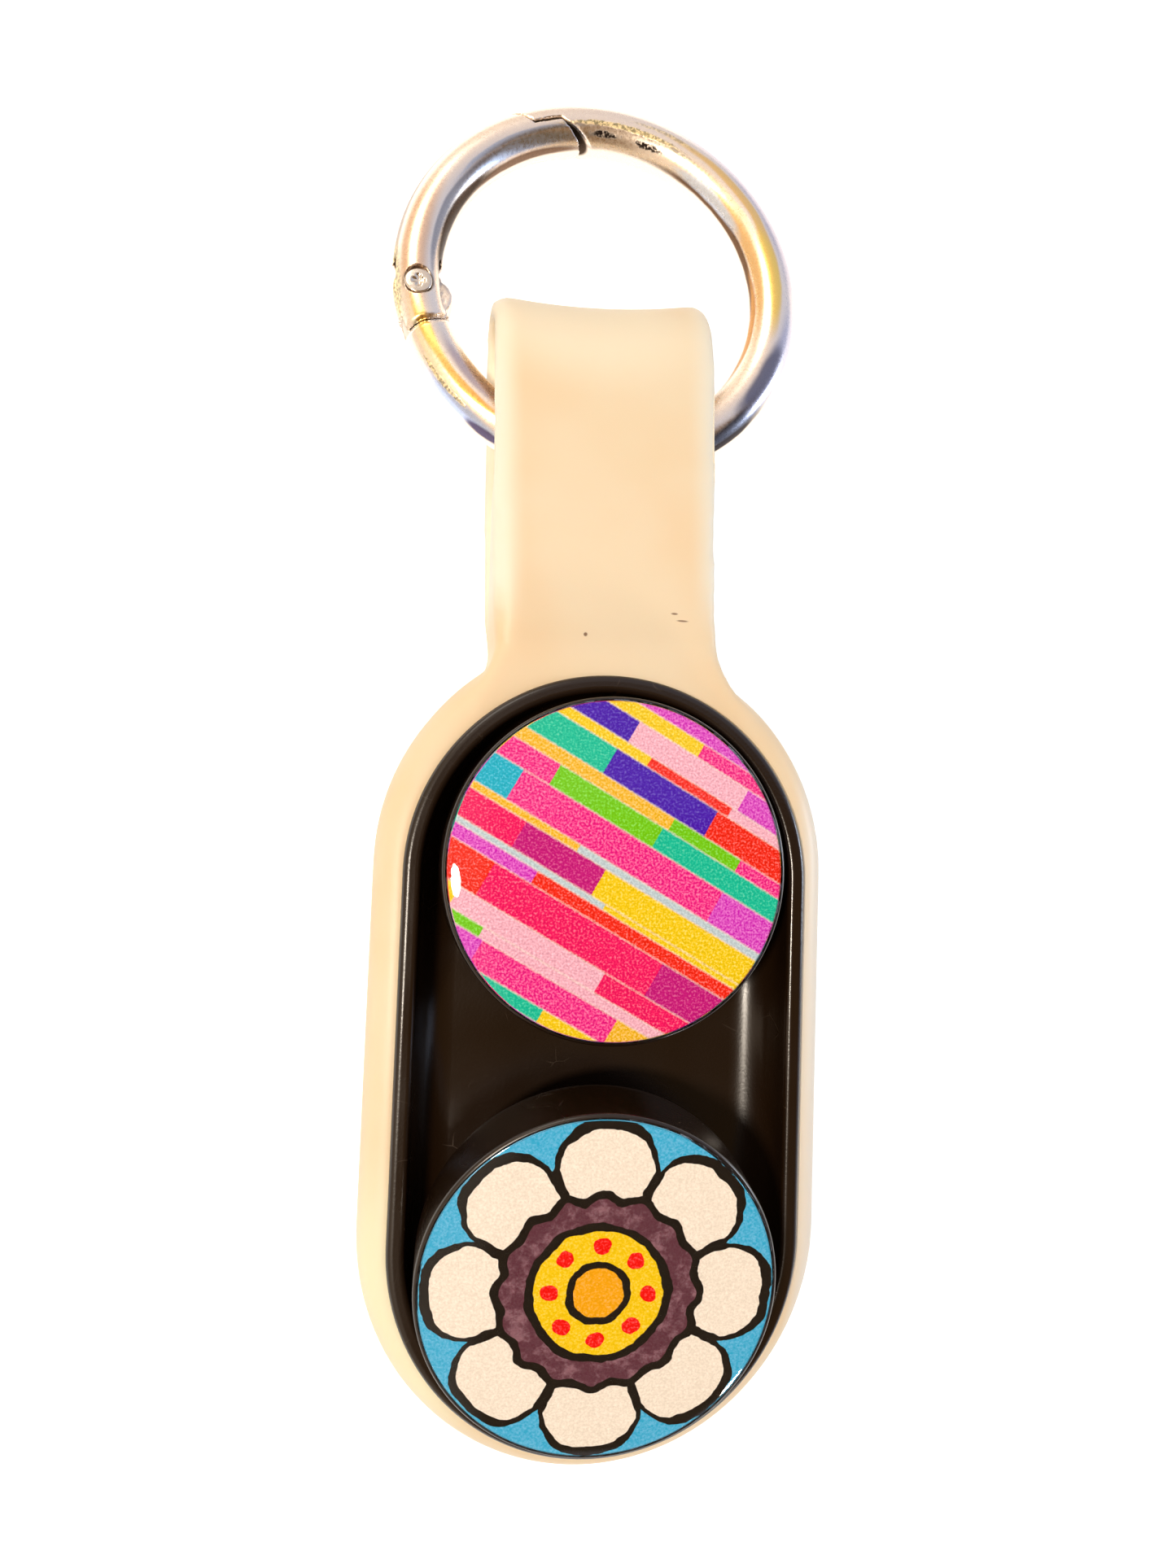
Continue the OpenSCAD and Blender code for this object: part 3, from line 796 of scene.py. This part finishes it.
def geometryTree(name, inputs):
    tree = bpy.data.node_groups.new(name, "GeometryNodeTree")
    tree.interface.new_socket("Geometry", in_out="INPUT", socket_type="NodeSocketGeometry")
    for label, (kind, value) in inputs.items():
        socket = tree.interface.new_socket(label, in_out="INPUT", socket_type=kind)
        if value is not None:
            socket.default_value = value
    tree.interface.new_socket("Geometry", in_out="OUTPUT", socket_type="NodeSocketGeometry")
    return tree, tree.nodes.new("NodeGroupInput").outputs, tree.nodes.new("NodeGroupOutput").inputs


def finishTree(tree, result, geometry, material):
    smooth = addNode(tree, "GeometryNodeSetShadeSmooth", {"Geometry": geometry})
    real = addNode(tree, "GeometryNodeRealizeInstances", {"Geometry": smooth.outputs[0]})
    dressed = addNode(tree, "GeometryNodeSetMaterial", {"Geometry": real.outputs[0], "Material": material})
    tree.links.new(dressed.outputs[0], result["Geometry"])


def circle(tree, points, radius):
    values = {"Resolution": points, "Radius": radius}
    return addNode(tree, "GeometryNodeCurvePrimitiveCircle", values, mode="RADIUS").outputs[0]


def sweep(tree, path, profile, caps=False):
    values = {"Curve": path, "Profile Curve": profile, "Fill Caps": caps}
    return addNode(tree, "GeometryNodeCurveToMesh", values).outputs[0]


def sweptRimTree():
    # sweeps the given profile round a stadium: width across, length along, and points in each end
    tree, given, result = geometryTree("sweptRim", {
        "Radius": ("NodeSocketFloat", 0.017), "Half Length": ("NodeSocketFloat", 0.016),
        "End Points": ("NodeSocketInt", 48), "Material": ("NodeSocketMaterial", None),
    })
    width = calc(tree, "MULTIPLY", given["Radius"], 2.0)
    length = calc(tree, "MULTIPLY", calc(tree, "ADD", given["Half Length"], given["Radius"]), 2.0)
    box = addNode(tree, "GeometryNodeCurvePrimitiveQuadrilateral", {
        "Width": width, "Height": length,
    }, mode="RECTANGLE")
    bend = addNode(tree, "GeometryNodeFilletCurve", {
        "Curve": box.outputs[0], "Count": given["End Points"], "Radius": given["Radius"],
        "Limit Radius": False,
    }, mode="POLY")
    finishTree(tree, result, sweep(tree, bend.outputs[0], given["Geometry"]), given["Material"])
    return tree


def turnedTree():
    # turns the given profile round an upright axis
    tree, given, result = geometryTree("turnedPart", {
        "Radius": ("NodeSocketFloat", 0.01), "Sides": ("NodeSocketInt", 160),
        "Material": ("NodeSocketMaterial", None),
    })
    path = circle(tree, given["Sides"], given["Radius"])
    finishTree(tree, result, sweep(tree, path, given["Geometry"]), given["Material"])
    return tree


def coilTree():
    # a coil of round wire along +Z, with capped ends
    tree, given, result = geometryTree("coilSpring", {
        "Turns": ("NodeSocketFloat", 7.0), "Radius": ("NodeSocketFloat", 0.0007),
        "Length": ("NodeSocketFloat", 0.003), "Wire": ("NodeSocketFloat", 0.00012),
        "Material": ("NodeSocketMaterial", None),
    })
    spiral = addNode(tree, "GeometryNodeCurveSpiral", {
        "Resolution": 28, "Rotations": given["Turns"], "Start Radius": given["Radius"],
        "End Radius": given["Radius"], "Height": given["Length"],
    })
    coil = sweep(tree, spiral.outputs[0], circle(tree, 8, given["Wire"]), True)
    finishTree(tree, result, coil, given["Material"])
    return tree


def runTree(name, tree, line, **inputs):
    # a curve carries the profile into the tree and comes out as a plain mesh
    curve = bpy.data.curves.new(name, "CURVE")
    curve.dimensions = "3D"
    if line is not None:
        spline = curve.splines.new("POLY")
        spline.points.add(len(line) - 1)
        for point, (x, y) in zip(spline.points, line):
            point.co = (x * mm, -y * mm, 0, 1)  # the sweep turns a profile's +Y downwards
    holder = bpy.data.objects.new(name, curve)
    scene.collection.objects.link(holder)
    modifier = holder.modifiers.new("tree", "NODES")
    modifier.node_group = tree
    for item in tree.interface.items_tree:
        if item.item_type == "SOCKET" and item.in_out == "INPUT" and item.name.replace(" ", "") in inputs:
            modifier[item.identifier] = inputs[item.name.replace(" ", "")]
    bpy.context.view_layer.update()
    graph = bpy.context.evaluated_depsgraph_get()
    mesh = bpy.data.meshes.new_from_object(holder.evaluated_get(graph))
    bpy.data.objects.remove(holder)
    piece = bpy.data.objects.new(name, mesh)
    scene.collection.objects.link(piece)
    return piece


sweptRim = sweptRimTree()
turnedPart = turnedTree()
coilSpring = coilTree()


def closeEnds(piece):
    # merges, fills the flat ends of a swept shell and turns its faces outwards
    bm = bmesh.new()
    bm.from_mesh(piece.data)
    bmesh.ops.remove_doubles(bm, verts=bm.verts, dist=0.0004 * mm)
    rim = [edge for edge in bm.edges if edge.is_boundary]
    bmesh.ops.holes_fill(bm, edges=rim, sides=0)
    bmesh.ops.dissolve_degenerate(bm, edges=bm.edges, dist=0.0002 * mm)
    bmesh.ops.recalc_face_normals(bm, faces=bm.faces)
    for face in bm.faces:
        face.smooth = len(face.verts) <= 4
    bm.to_mesh(piece.data)
    bm.free()
    return piece


def cutRows(piece, places):
    # cuts the wide flat fills of a swept shell into short rows across it
    bm = bmesh.new()
    bm.from_mesh(piece.data)
    for place in places:
        wide = [face for face in bm.faces if len(face.verts) > 4 and abs(face.normal.z) > 0.99]
        parts = set(wide).union(*[face.edges for face in wide], *[face.verts for face in wide])
        bmesh.ops.bisect_plane(bm, geom=list(parts), dist=0.0001 * mm,
                               plane_co=(0, place * mm, 0), plane_no=(0, 1, 0))
    bm.to_mesh(piece.data)
    bm.free()


def placed(piece, turn, centre):
    # puts a piece made about the origin into a turned frame
    setPoints(piece, points(piece) @ np.array(turn).T + np.array(centre) / mm)
    return piece


def turned(name, corners, turn, centre, material, sides=160, pathRadius=8.0):
    line = [(x - pathRadius, z) for x, z in roundedLine(corners)]
    piece = runTree(name, turnedPart, line, Radius=pathRadius * mm, Sides=sides, Material=material)
    return placed(closeEnds(piece), turn, centre)


creamSilicone = siliconeMaterial(silicone)
trayBlack = blackMaterial("satinBlack", blackPlastic, 0.25, 0.03, 0.24)
puckBlack = blackMaterial("smoothBlack", blackPlastic, 0.5, 0.015, 0.26)
ringNickel = ringMaterial(ringMetal)
brightSteel = steelMaterial("brightSteel", steel, 0.2, 0.4)
plainSteel = steelMaterial("plainSteel", steel, 0.3, 0.4)
clearResin = domeMaterial()
print("materials are made")


tray = {
    # mm
    "endRadius": 18.4, "halfLength": 16.0, "rimHeight": 11.0, "rimWidth": 1.6, "floor": 5.4,
    "outerRound": 0.6, "innerRound": 0.5, "fillet": 3.6, "edge": 0.1,
    "foot": 18.28, "footRound": 0.2, "groove": 17.6, "grooveLow": 3.66, "grooveHigh": 7.72,
    "coverRadius": 16.3, "coverDepth": 0.62, "coverEdge": 0.05,
    "fillReach": 3.0, "pathRadius": 17.0, "rows": 18, "endRows": (18.3, 18.5, 18.7, 18.82, 18.92),
}


def makeTray(look):
    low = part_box("tray_body")[0].z / mm
    outer, inner = look["endRadius"], look["endRadius"] - look["rimWidth"]
    cover, foot, groove = look["coverRadius"], look["foot"], look["groove"]
    under, edge = low + look["coverDepth"], look["edge"]
    corners = [
        (look["fillReach"], under, 0), (cover, under, look["coverEdge"]), (cover, low, look["coverEdge"]),
        (foot, low, look["footRound"]), (foot, look["grooveLow"], edge), (groove, look["grooveLow"], edge),
        (groove, look["grooveHigh"], edge), (outer, look["grooveHigh"], edge),
        (outer, look["rimHeight"], look["outerRound"]), (inner, look["rimHeight"], look["innerRound"]),
        (inner, look["floor"], look["fillet"]), (look["fillReach"], look["floor"], 0),
    ]
    line = [(x - look["pathRadius"], z) for x, z in roundedLine(corners)]
    piece = runTree("trayShell", sweptRim, line, Radius=look["pathRadius"] * mm,
                    HalfLength=look["halfLength"] * mm, EndPoints=56, Material=trayBlack)
    closeEnds(piece)
    rows = list(range(-look["rows"], look["rows"] + 1))
    cutRows(piece, rows + list(look["endRows"]) + [-place for place in look["endRows"]])
    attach(piece, "holder")
    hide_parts("tray_body")
    return piece


trayShell = makeTray(tray)
print("tray", [round(v, 4) for v in np.concatenate((points(trayShell).min(0), points(trayShell).max(0)))])


puck = {
    # mm
    "radius": 15.2, "height": 8.8, "lowerRound": 3.0, "upperRound": 0.35, "capThickness": 1.15,
    "hollow": 11.5, "hollowTop": 6.6, "seat": 12.0, "seatTop": 1.2,
    "face": 14.8, "recess": 0.8, "gap": 0.02, "axis": 0.05,
    "domeRise": 1.4, "domeFull": 2.2, "domeEase": 0.85, "domePath": 8.0,
    "upperTurn": Matrix.Identity(3),
    # the lower puck leans over the end of the tray
    "lowerTurn": Matrix.Rotation(math.radians(-15), 3, "Z") @ Matrix.Rotation(math.radians(11), 3, "X"),
}


def puckShell(name, look, turn, base):
    axis, r, h, hollow = look["axis"], look["radius"], look["height"], look["hollow"]
    lip, under = look["face"] + 0.05, h - look["recess"]
    return turned(name, [
        (axis, look["hollowTop"], 0), (hollow, look["hollowTop"], 0.2), (hollow, look["seatTop"], 0.05),
        (look["seat"], look["seatTop"], 0.05), (look["seat"], 0, 0.12), (r, 0, look["lowerRound"]),
        (r, h, look["upperRound"]), (lip, h, 0.04), (lip, under, 0.05), (axis, under, 0),
    ], turn, base, puckBlack)


def puckDisc(name, look, turn, base, material):
    axis, gap = look["axis"], look["gap"]
    top, under, edge = look["height"] - gap, look["height"] - look["recess"] + gap, look["face"] - gap
    corners = [(axis, under, 0), (edge, under, 0.1), (edge, top, 0.12), (axis, top, 0)]
    return turned(name, corners, turn, base, material)


def puckDome(name, look, turn, base):
    # a low cushion of resin, fuller than a ball's cap
    bottom, middle = look["height"] + 0.01, look["domePath"]
    rise = []
    for k in range(33):
        share = math.sin(math.pi / 2 * k / 32)
        full = (1 - share ** look["domeFull"]) ** look["domeEase"]
        rise.append((look["face"] * share, bottom + (look["domeRise"] - 0.03) * full))
    line = [(look["axis"], bottom), (look["face"] - 0.15, bottom)] + rise[::-1]
    line[-1] = (look["axis"], line[-1][1])
    line = [(x - middle, z) for x, z in line]
    piece = runTree(name, turnedPart, line, Radius=middle * mm, Sides=160, Material=clearResin)
    return placed(closeEnds(piece), turn, base)


def makePuck(side, look):
    low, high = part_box(side + "_cap")
    turn = look[side + "Turn"]
    base = (low + high) / 2 - turn @ Vector((0, 0, look["capThickness"] / 2 * mm))
    face = base + turn @ Vector((0, 0, look["height"] * mm))
    makeFace, colors = (stripeMaterial, stripePrint) if side == "upper" else (rosetteMaterial, rosettePrint)
    shell = puckShell(side + "PuckShell", look, turn, base)
    disc = puckDisc(side + "PuckPrint", look, turn, base, makeFace(colors, face, turn))
    dome = puckDome(side + "PuckDome", look, turn, base)
    nodes = ("_shell", "_print", "_dome")
    for piece, node, slot in zip((shell, disc, dome), nodes, ("puck_plastic", "printed_paper", "clear_dome")):
        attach(piece, side + "_puck")
        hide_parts(side + node)


for side in ("upper", "lower"):
    makePuck(side, puck)
print("pucks are made")


sleeve = {
    # mm, but sag is a share of the height
    "voxel": 0.5, "quickVoxel": 0.8, "rounds": 8,
    "wall": 18.45, "wallLow": 7.0, "lip": 0.8,
    "foldStart": 62.0, "foldEnd": 70.5, "flare": 0.875, "flareSide": 0.195, "flareMiddle": -0.4,
    "shift": -0.85, "shiftPlace": (30.0, 42.0), "shiftBack": 0.45, "backPlace": (44.0, 70.0),
    "sag": 0.155, "sagPlace": (38.0, 52.0), "back": 1.8,
    "hollow": 0.62, "hollowPlace": (49.0, 54.0, 60.5, 64.0), "hollowHeight": (8.5, 10.5, 11.3, 12.3),
    "crown": 0.5, "crownPlace": (34.0, 42.0), "crownHeight": (6.0, 8.5),
    "cornerRound": 0.7, "cornerPlace": (66.0, 70.5),
    "strapHalf": 10.4, "neck": 38.0,
}


def window(value, low, lowEnd, high, highEnd):
    # 1 between two limits, easing to 0 outside them
    return smoothstep(value, low, lowEnd) * (1 - smoothstep(value, high, highEnd))


def tuckUnderRim(data, look):
    # the wall round the tray runs on under its rim, so that the lip meets the tray closely
    along = np.clip(data[:, 1], -tray["halfLength"], tray["halfLength"])
    away = data[:, :2] - np.stack((np.zeros(len(data)), along), 1)
    reach = np.linalg.norm(away, axis=1)
    wall = (np.abs(reach - look["wall"]) < 0.08) & (data[:, 2] > look["wallLow"])
    data[wall, :2] -= away[wall] / reach[wall, None] * look["lip"]
    return data


def softenStrap(data, look):
    # u runs across the leaning strap and v along it
    c, s, neck = math.cos(strapLean), math.sin(strapLean), look["neck"]
    u = data[:, 0] * c + (data[:, 1] - neck) * s
    v = -data[:, 0] * s + (data[:, 1] - neck) * c + neck
    z = data[:, 2]
    # the fold's outer edge is drawn in at its middle and stands up at its corners
    side = np.clip(u / look["strapHalf"], -1.05, 1.05)
    flare = look["flare"] * side ** 2 + look["flareSide"] * side + look["flareMiddle"]
    v = v + smoothstep(v, look["foldStart"], look["foldEnd"]) * flare
    # the soft strap lies flatter than the stiff solid, and its inside is hollowed where the wire passes
    back, sag = look["back"], look["sag"] * smoothstep(v, *look["sagPlace"])
    hollow = window(z, *look["hollowHeight"]) * window(v, *look["hollowPlace"])
    z = np.where(z > back, back + (z - back) * (1 - sag), z) + look["hollow"] * hollow
    # its front is crowned and its corners are rounded, and it lies a little to one side
    crown = smoothstep(np.abs(side), 0.72, 1.02) ** 2
    crown = crown * smoothstep(z, *look["crownHeight"]) * smoothstep(v, *look["crownPlace"])
    z -= look["crown"] * crown * (1 - 0.6 * hollow)
    u = u + look["shift"] * smoothstep(v, *look["shiftPlace"])
    u = u + look["shiftBack"] * smoothstep(v, *look["backPlace"])
    corner = smoothstep(np.abs(side), 0.8, 1.03) ** 2 * smoothstep(v, *look["cornerPlace"])
    v = v - look["cornerRound"] * corner
    return np.stack((u * c - (v - neck) * s, u * s + (v - neck) * c + neck, z), 1)


def makeSleeve(look):
    piece = mergedCopy(["sleeve"], "softSleeve", creamSilicone)
    setPoints(piece, tuckUnderRim(points(piece), look))
    remeshSmooth(piece, look["voxel"], look["rounds"])
    setPoints(piece, softenStrap(points(piece), look))
    piece.data.materials.clear()
    piece.data.materials.append(creamSilicone)
    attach(piece, "holder")
    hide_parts("sleeve")
    return piece


softSleeve = makeSleeve(sleeve)
print("sleeve", len(softSleeve.data.polygons), "faces")


ring = {
    # mm
    "wire": 2.36, "voxel": {"ring_body": 0.15, "gate": 0.13}, "quickVoxel": 0.25, "rounds": 3,
    "hold": 0.04, "release": 0.12, "tail": 4.05, "tailEase": 0.65, "tailDrop": 0.2,
    "seatEase": 0.5, "seatDrop": 0.13, "seatReach": (3, 8), "hingeReach": 8,
}


def easedHinge(data, node, look):
    # both edges of the hinge's joint are eased over: the gate's tail strongly, the wire behind it less
    turn, pinPlace = np.array(ringTurn), np.array(rivetPlace) / mm
    hinge = (data - pinPlace) @ turn
    pin = (pinPlace - np.array(ringCentre) / mm) @ turn
    inward = -pin[:2] / np.linalg.norm(pin[:2])
    x, y = hinge[:, 0] * inward[1] - hinge[:, 1] * inward[0], hinge[:, :2] @ inward
    edge = np.where(y > 0, np.sqrt(np.clip(look["tail"] ** 2 - y ** 2, 0, None)), look["tail"] - 0.35 * y)
    if node == "gate":
        ease = np.clip(1 - (edge - x) / look["tailEase"], 0, 1) ** 2 * look["tailDrop"]
        ease[x < 0] = 0
    else:
        low, high = look["seatReach"]
        ease = np.clip(1 - (x - edge - 0.15) / look["seatEase"], 0, 1) ** 2 * look["seatDrop"]
        ease[(x < low) | (x > high)] = 0
    return ease * (np.linalg.norm(hinge, axis=1) < look["hingeReach"])


def makeWirePiece(node, name, look, body):
    piece = mergedCopy([node], name, ringNickel)
    remeshSmooth(piece, look["voxel"][node], look["rounds"])
    data = points(piece)
    centre, axis = np.array(ringCentre) / mm, np.array(ringAxis)
    local = data - centre
    flat = local - (local @ axis)[:, None] * axis
    middle = centre + flat / np.linalg.norm(flat, axis=1)[:, None] * ringRadius
    fromWire = data - middle
    size = np.linalg.norm(fromWire, axis=1)
    # points on the round wire go exactly onto it; those near a cut keep their eased edge
    keep = 1 - smoothstep(np.abs(size - look["wire"]), look["hold"], look["release"])
    target = middle + fromWire / size[:, None] * look["wire"]
    data = data + (target - data) * keep[:, None]
    data = data + (middle - data) * (easedHinge(data, node, look) * keep)[:, None]
    setPoints(piece, data)
    piece.data.materials.clear()
    piece.data.materials.append(ringNickel)
    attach(piece, body)
    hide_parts(node)
    return piece


ringWire = makeWirePiece("ring_body", "ringWire", ring, "ring")
gateArm = makeWirePiece("gate", "gateArm", ring, "gate")
print("ring", len(ringWire.data.polygons), "gate", len(gateArm.data.polygons))


rivet = {
    # mm
    "shank": 0.9, "head": 1.27, "face": 2.21, "under": 1.93, "rimRound": 0.2, "rimDrop": 0.14, "crown": 0.05,
    "dimple": 0.62, "dimpleDepth": 0.2, "dimpleEdge": 0.12, "crossHalf": 0.25, "sides": 72,
}


def rivetProfile(look):
    # one half from the middle of its head to its shank, then the same mirrored: (radius, height) pairs
    head, face = look["head"], look["face"]
    half = [(0.0, face)] + [(head * k / 22, face) for k in range(1, 19)]
    for k in range(7):
        turn = math.pi / 2 * k / 6
        across = head - look["rimRound"] + look["rimRound"] * math.sin(turn)
        half.append((across, face - look["rimDrop"] + look["rimDrop"] * math.cos(turn)))
    half += [(head, look["under"] + 0.02), (look["shank"], look["under"])]
    return half + [(r, -z) for r, z in half[::-1]]


def rivetLoop(bm, look, r, z):
    # the points round the axis at one step of the profile, sunk where the cross is pressed in
    deep = look["dimpleDepth"]
    if r == 0:
        return [bm.verts.new((0, 0, (abs(z) - deep) * math.copysign(1, z) * mm))]
    loop = []
    low, high = look["dimple"] - look["dimpleEdge"], look["dimple"] + look["dimpleEdge"]
    bowl = max(0.0, 1 - (r / look["dimple"]) ** 2) * 0.5 + 0.5
    crown = look["crown"] * (1 - (r / look["head"]) ** 2)
    for k in range(look["sides"]):
        turn = 2 * math.pi * k / look["sides"]
        x, y = r * math.cos(turn), r * math.sin(turn)
        cross = max(math.exp(-(x / look["crossHalf"]) ** 4), math.exp(-(y / look["crossHalf"]) ** 4))
        sunk = deep * cross * bowl * (1 - smoothstep(r, low, high))
        level = abs(z) - sunk - look["crown"] + crown
        loop.append(bm.verts.new((x * mm, y * mm, math.copysign(level, z) * mm)))
    return loop


def makeRivet(look):
    # a headed pin with a rounded rim and a cross pressed into each head
    bm = bmesh.new()
    loops = [rivetLoop(bm, look, r, z) for r, z in rivetProfile(look)]
    for first, second in zip(loops, loops[1:]):
        for k in range(look["sides"]):
            following = (k + 1) % look["sides"]
            corners = [first[0]] if len(first) == 1 else [first[k], first[following]]
            corners += [second[0]] if len(second) == 1 else [second[following], second[k]]
            bm.faces.new(corners)
    bmesh.ops.recalc_face_normals(bm, faces=bm.faces)
    piece = meshFromBmesh("gateRivet", bm, brightSteel)
    placed(piece, ringTurn, rivetPlace)
    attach(piece, "ring")
    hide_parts("gate_rivet")


makeRivet(rivet)

gateParts = {
    # mm
    "coilTurns": 7.0, "coilRadius": 0.68, "coilWire": 0.14, "coilGap": 0.06,
    "plungerRadius": 0.84, "plungerLength": 2.4, "noseRound": 0.45,
}


def makeGateParts(look):
    # the plunger and its spring lie in the bore of the gate, in line with the rivet
    places = []
    for node in ("gate_plunger", "gate_spring"):
        low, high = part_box(node)
        places.append((low + high) / 2)
    plungerPlace, coilPlace = places
    along = (coilPlace - rivetPlace).normalized()
    side = along.cross(ringAxis).normalized()
    turn = Matrix((side, along.cross(side), along)).transposed()
    apart = (coilPlace - plungerPlace).length / mm
    length, r, wire = look["plungerLength"], look["plungerRadius"], look["coilWire"]
    coilLength = 2 * apart - length - look["coilGap"]
    plunger = turned("gatePlunger", [
        (0.05, 0.01, 0), (r, 0.01, look["noseRound"]), (r, length - 0.02, 0.08), (0.05, length - 0.02, 0),
    ], turn, plungerPlace - along * length / 2 * mm, plainSteel, 48, 0.4)
    coil = runTree("gateCoil", coilSpring, None, Turns=look["coilTurns"], Radius=look["coilRadius"] * mm,
                   Length=(coilLength - 2 * wire) * mm, Wire=wire * mm, Material=plainSteel)
    placed(coil, turn, coilPlace - along * (coilLength / 2 - wire) * mm)
    for piece, node in ((plunger, "gate_plunger"), (coil, "gate_spring")):
        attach(piece, "gate")
        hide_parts(node)


makeGateParts(gateParts)
print("ring, gate, rivet, plunger and spring are made")


kept = {"tray_cover": trayBlack, "upper_cap": puckBlack, "lower_cap": puckBlack}
for name in ("magnet_upper", "magnet_lower", "keeper_upper", "keeper_lower"):
    kept["tray_" + name] = plainSteel
for name in ("upper", "lower"):
    kept[name + "_magnet"] = plainSteel
    kept[name + "_weight"] = plainSteel
for node, material in kept.items():
    mesh = frame["nodes"][node].data
    mesh.materials.clear()
    mesh.materials.append(material)
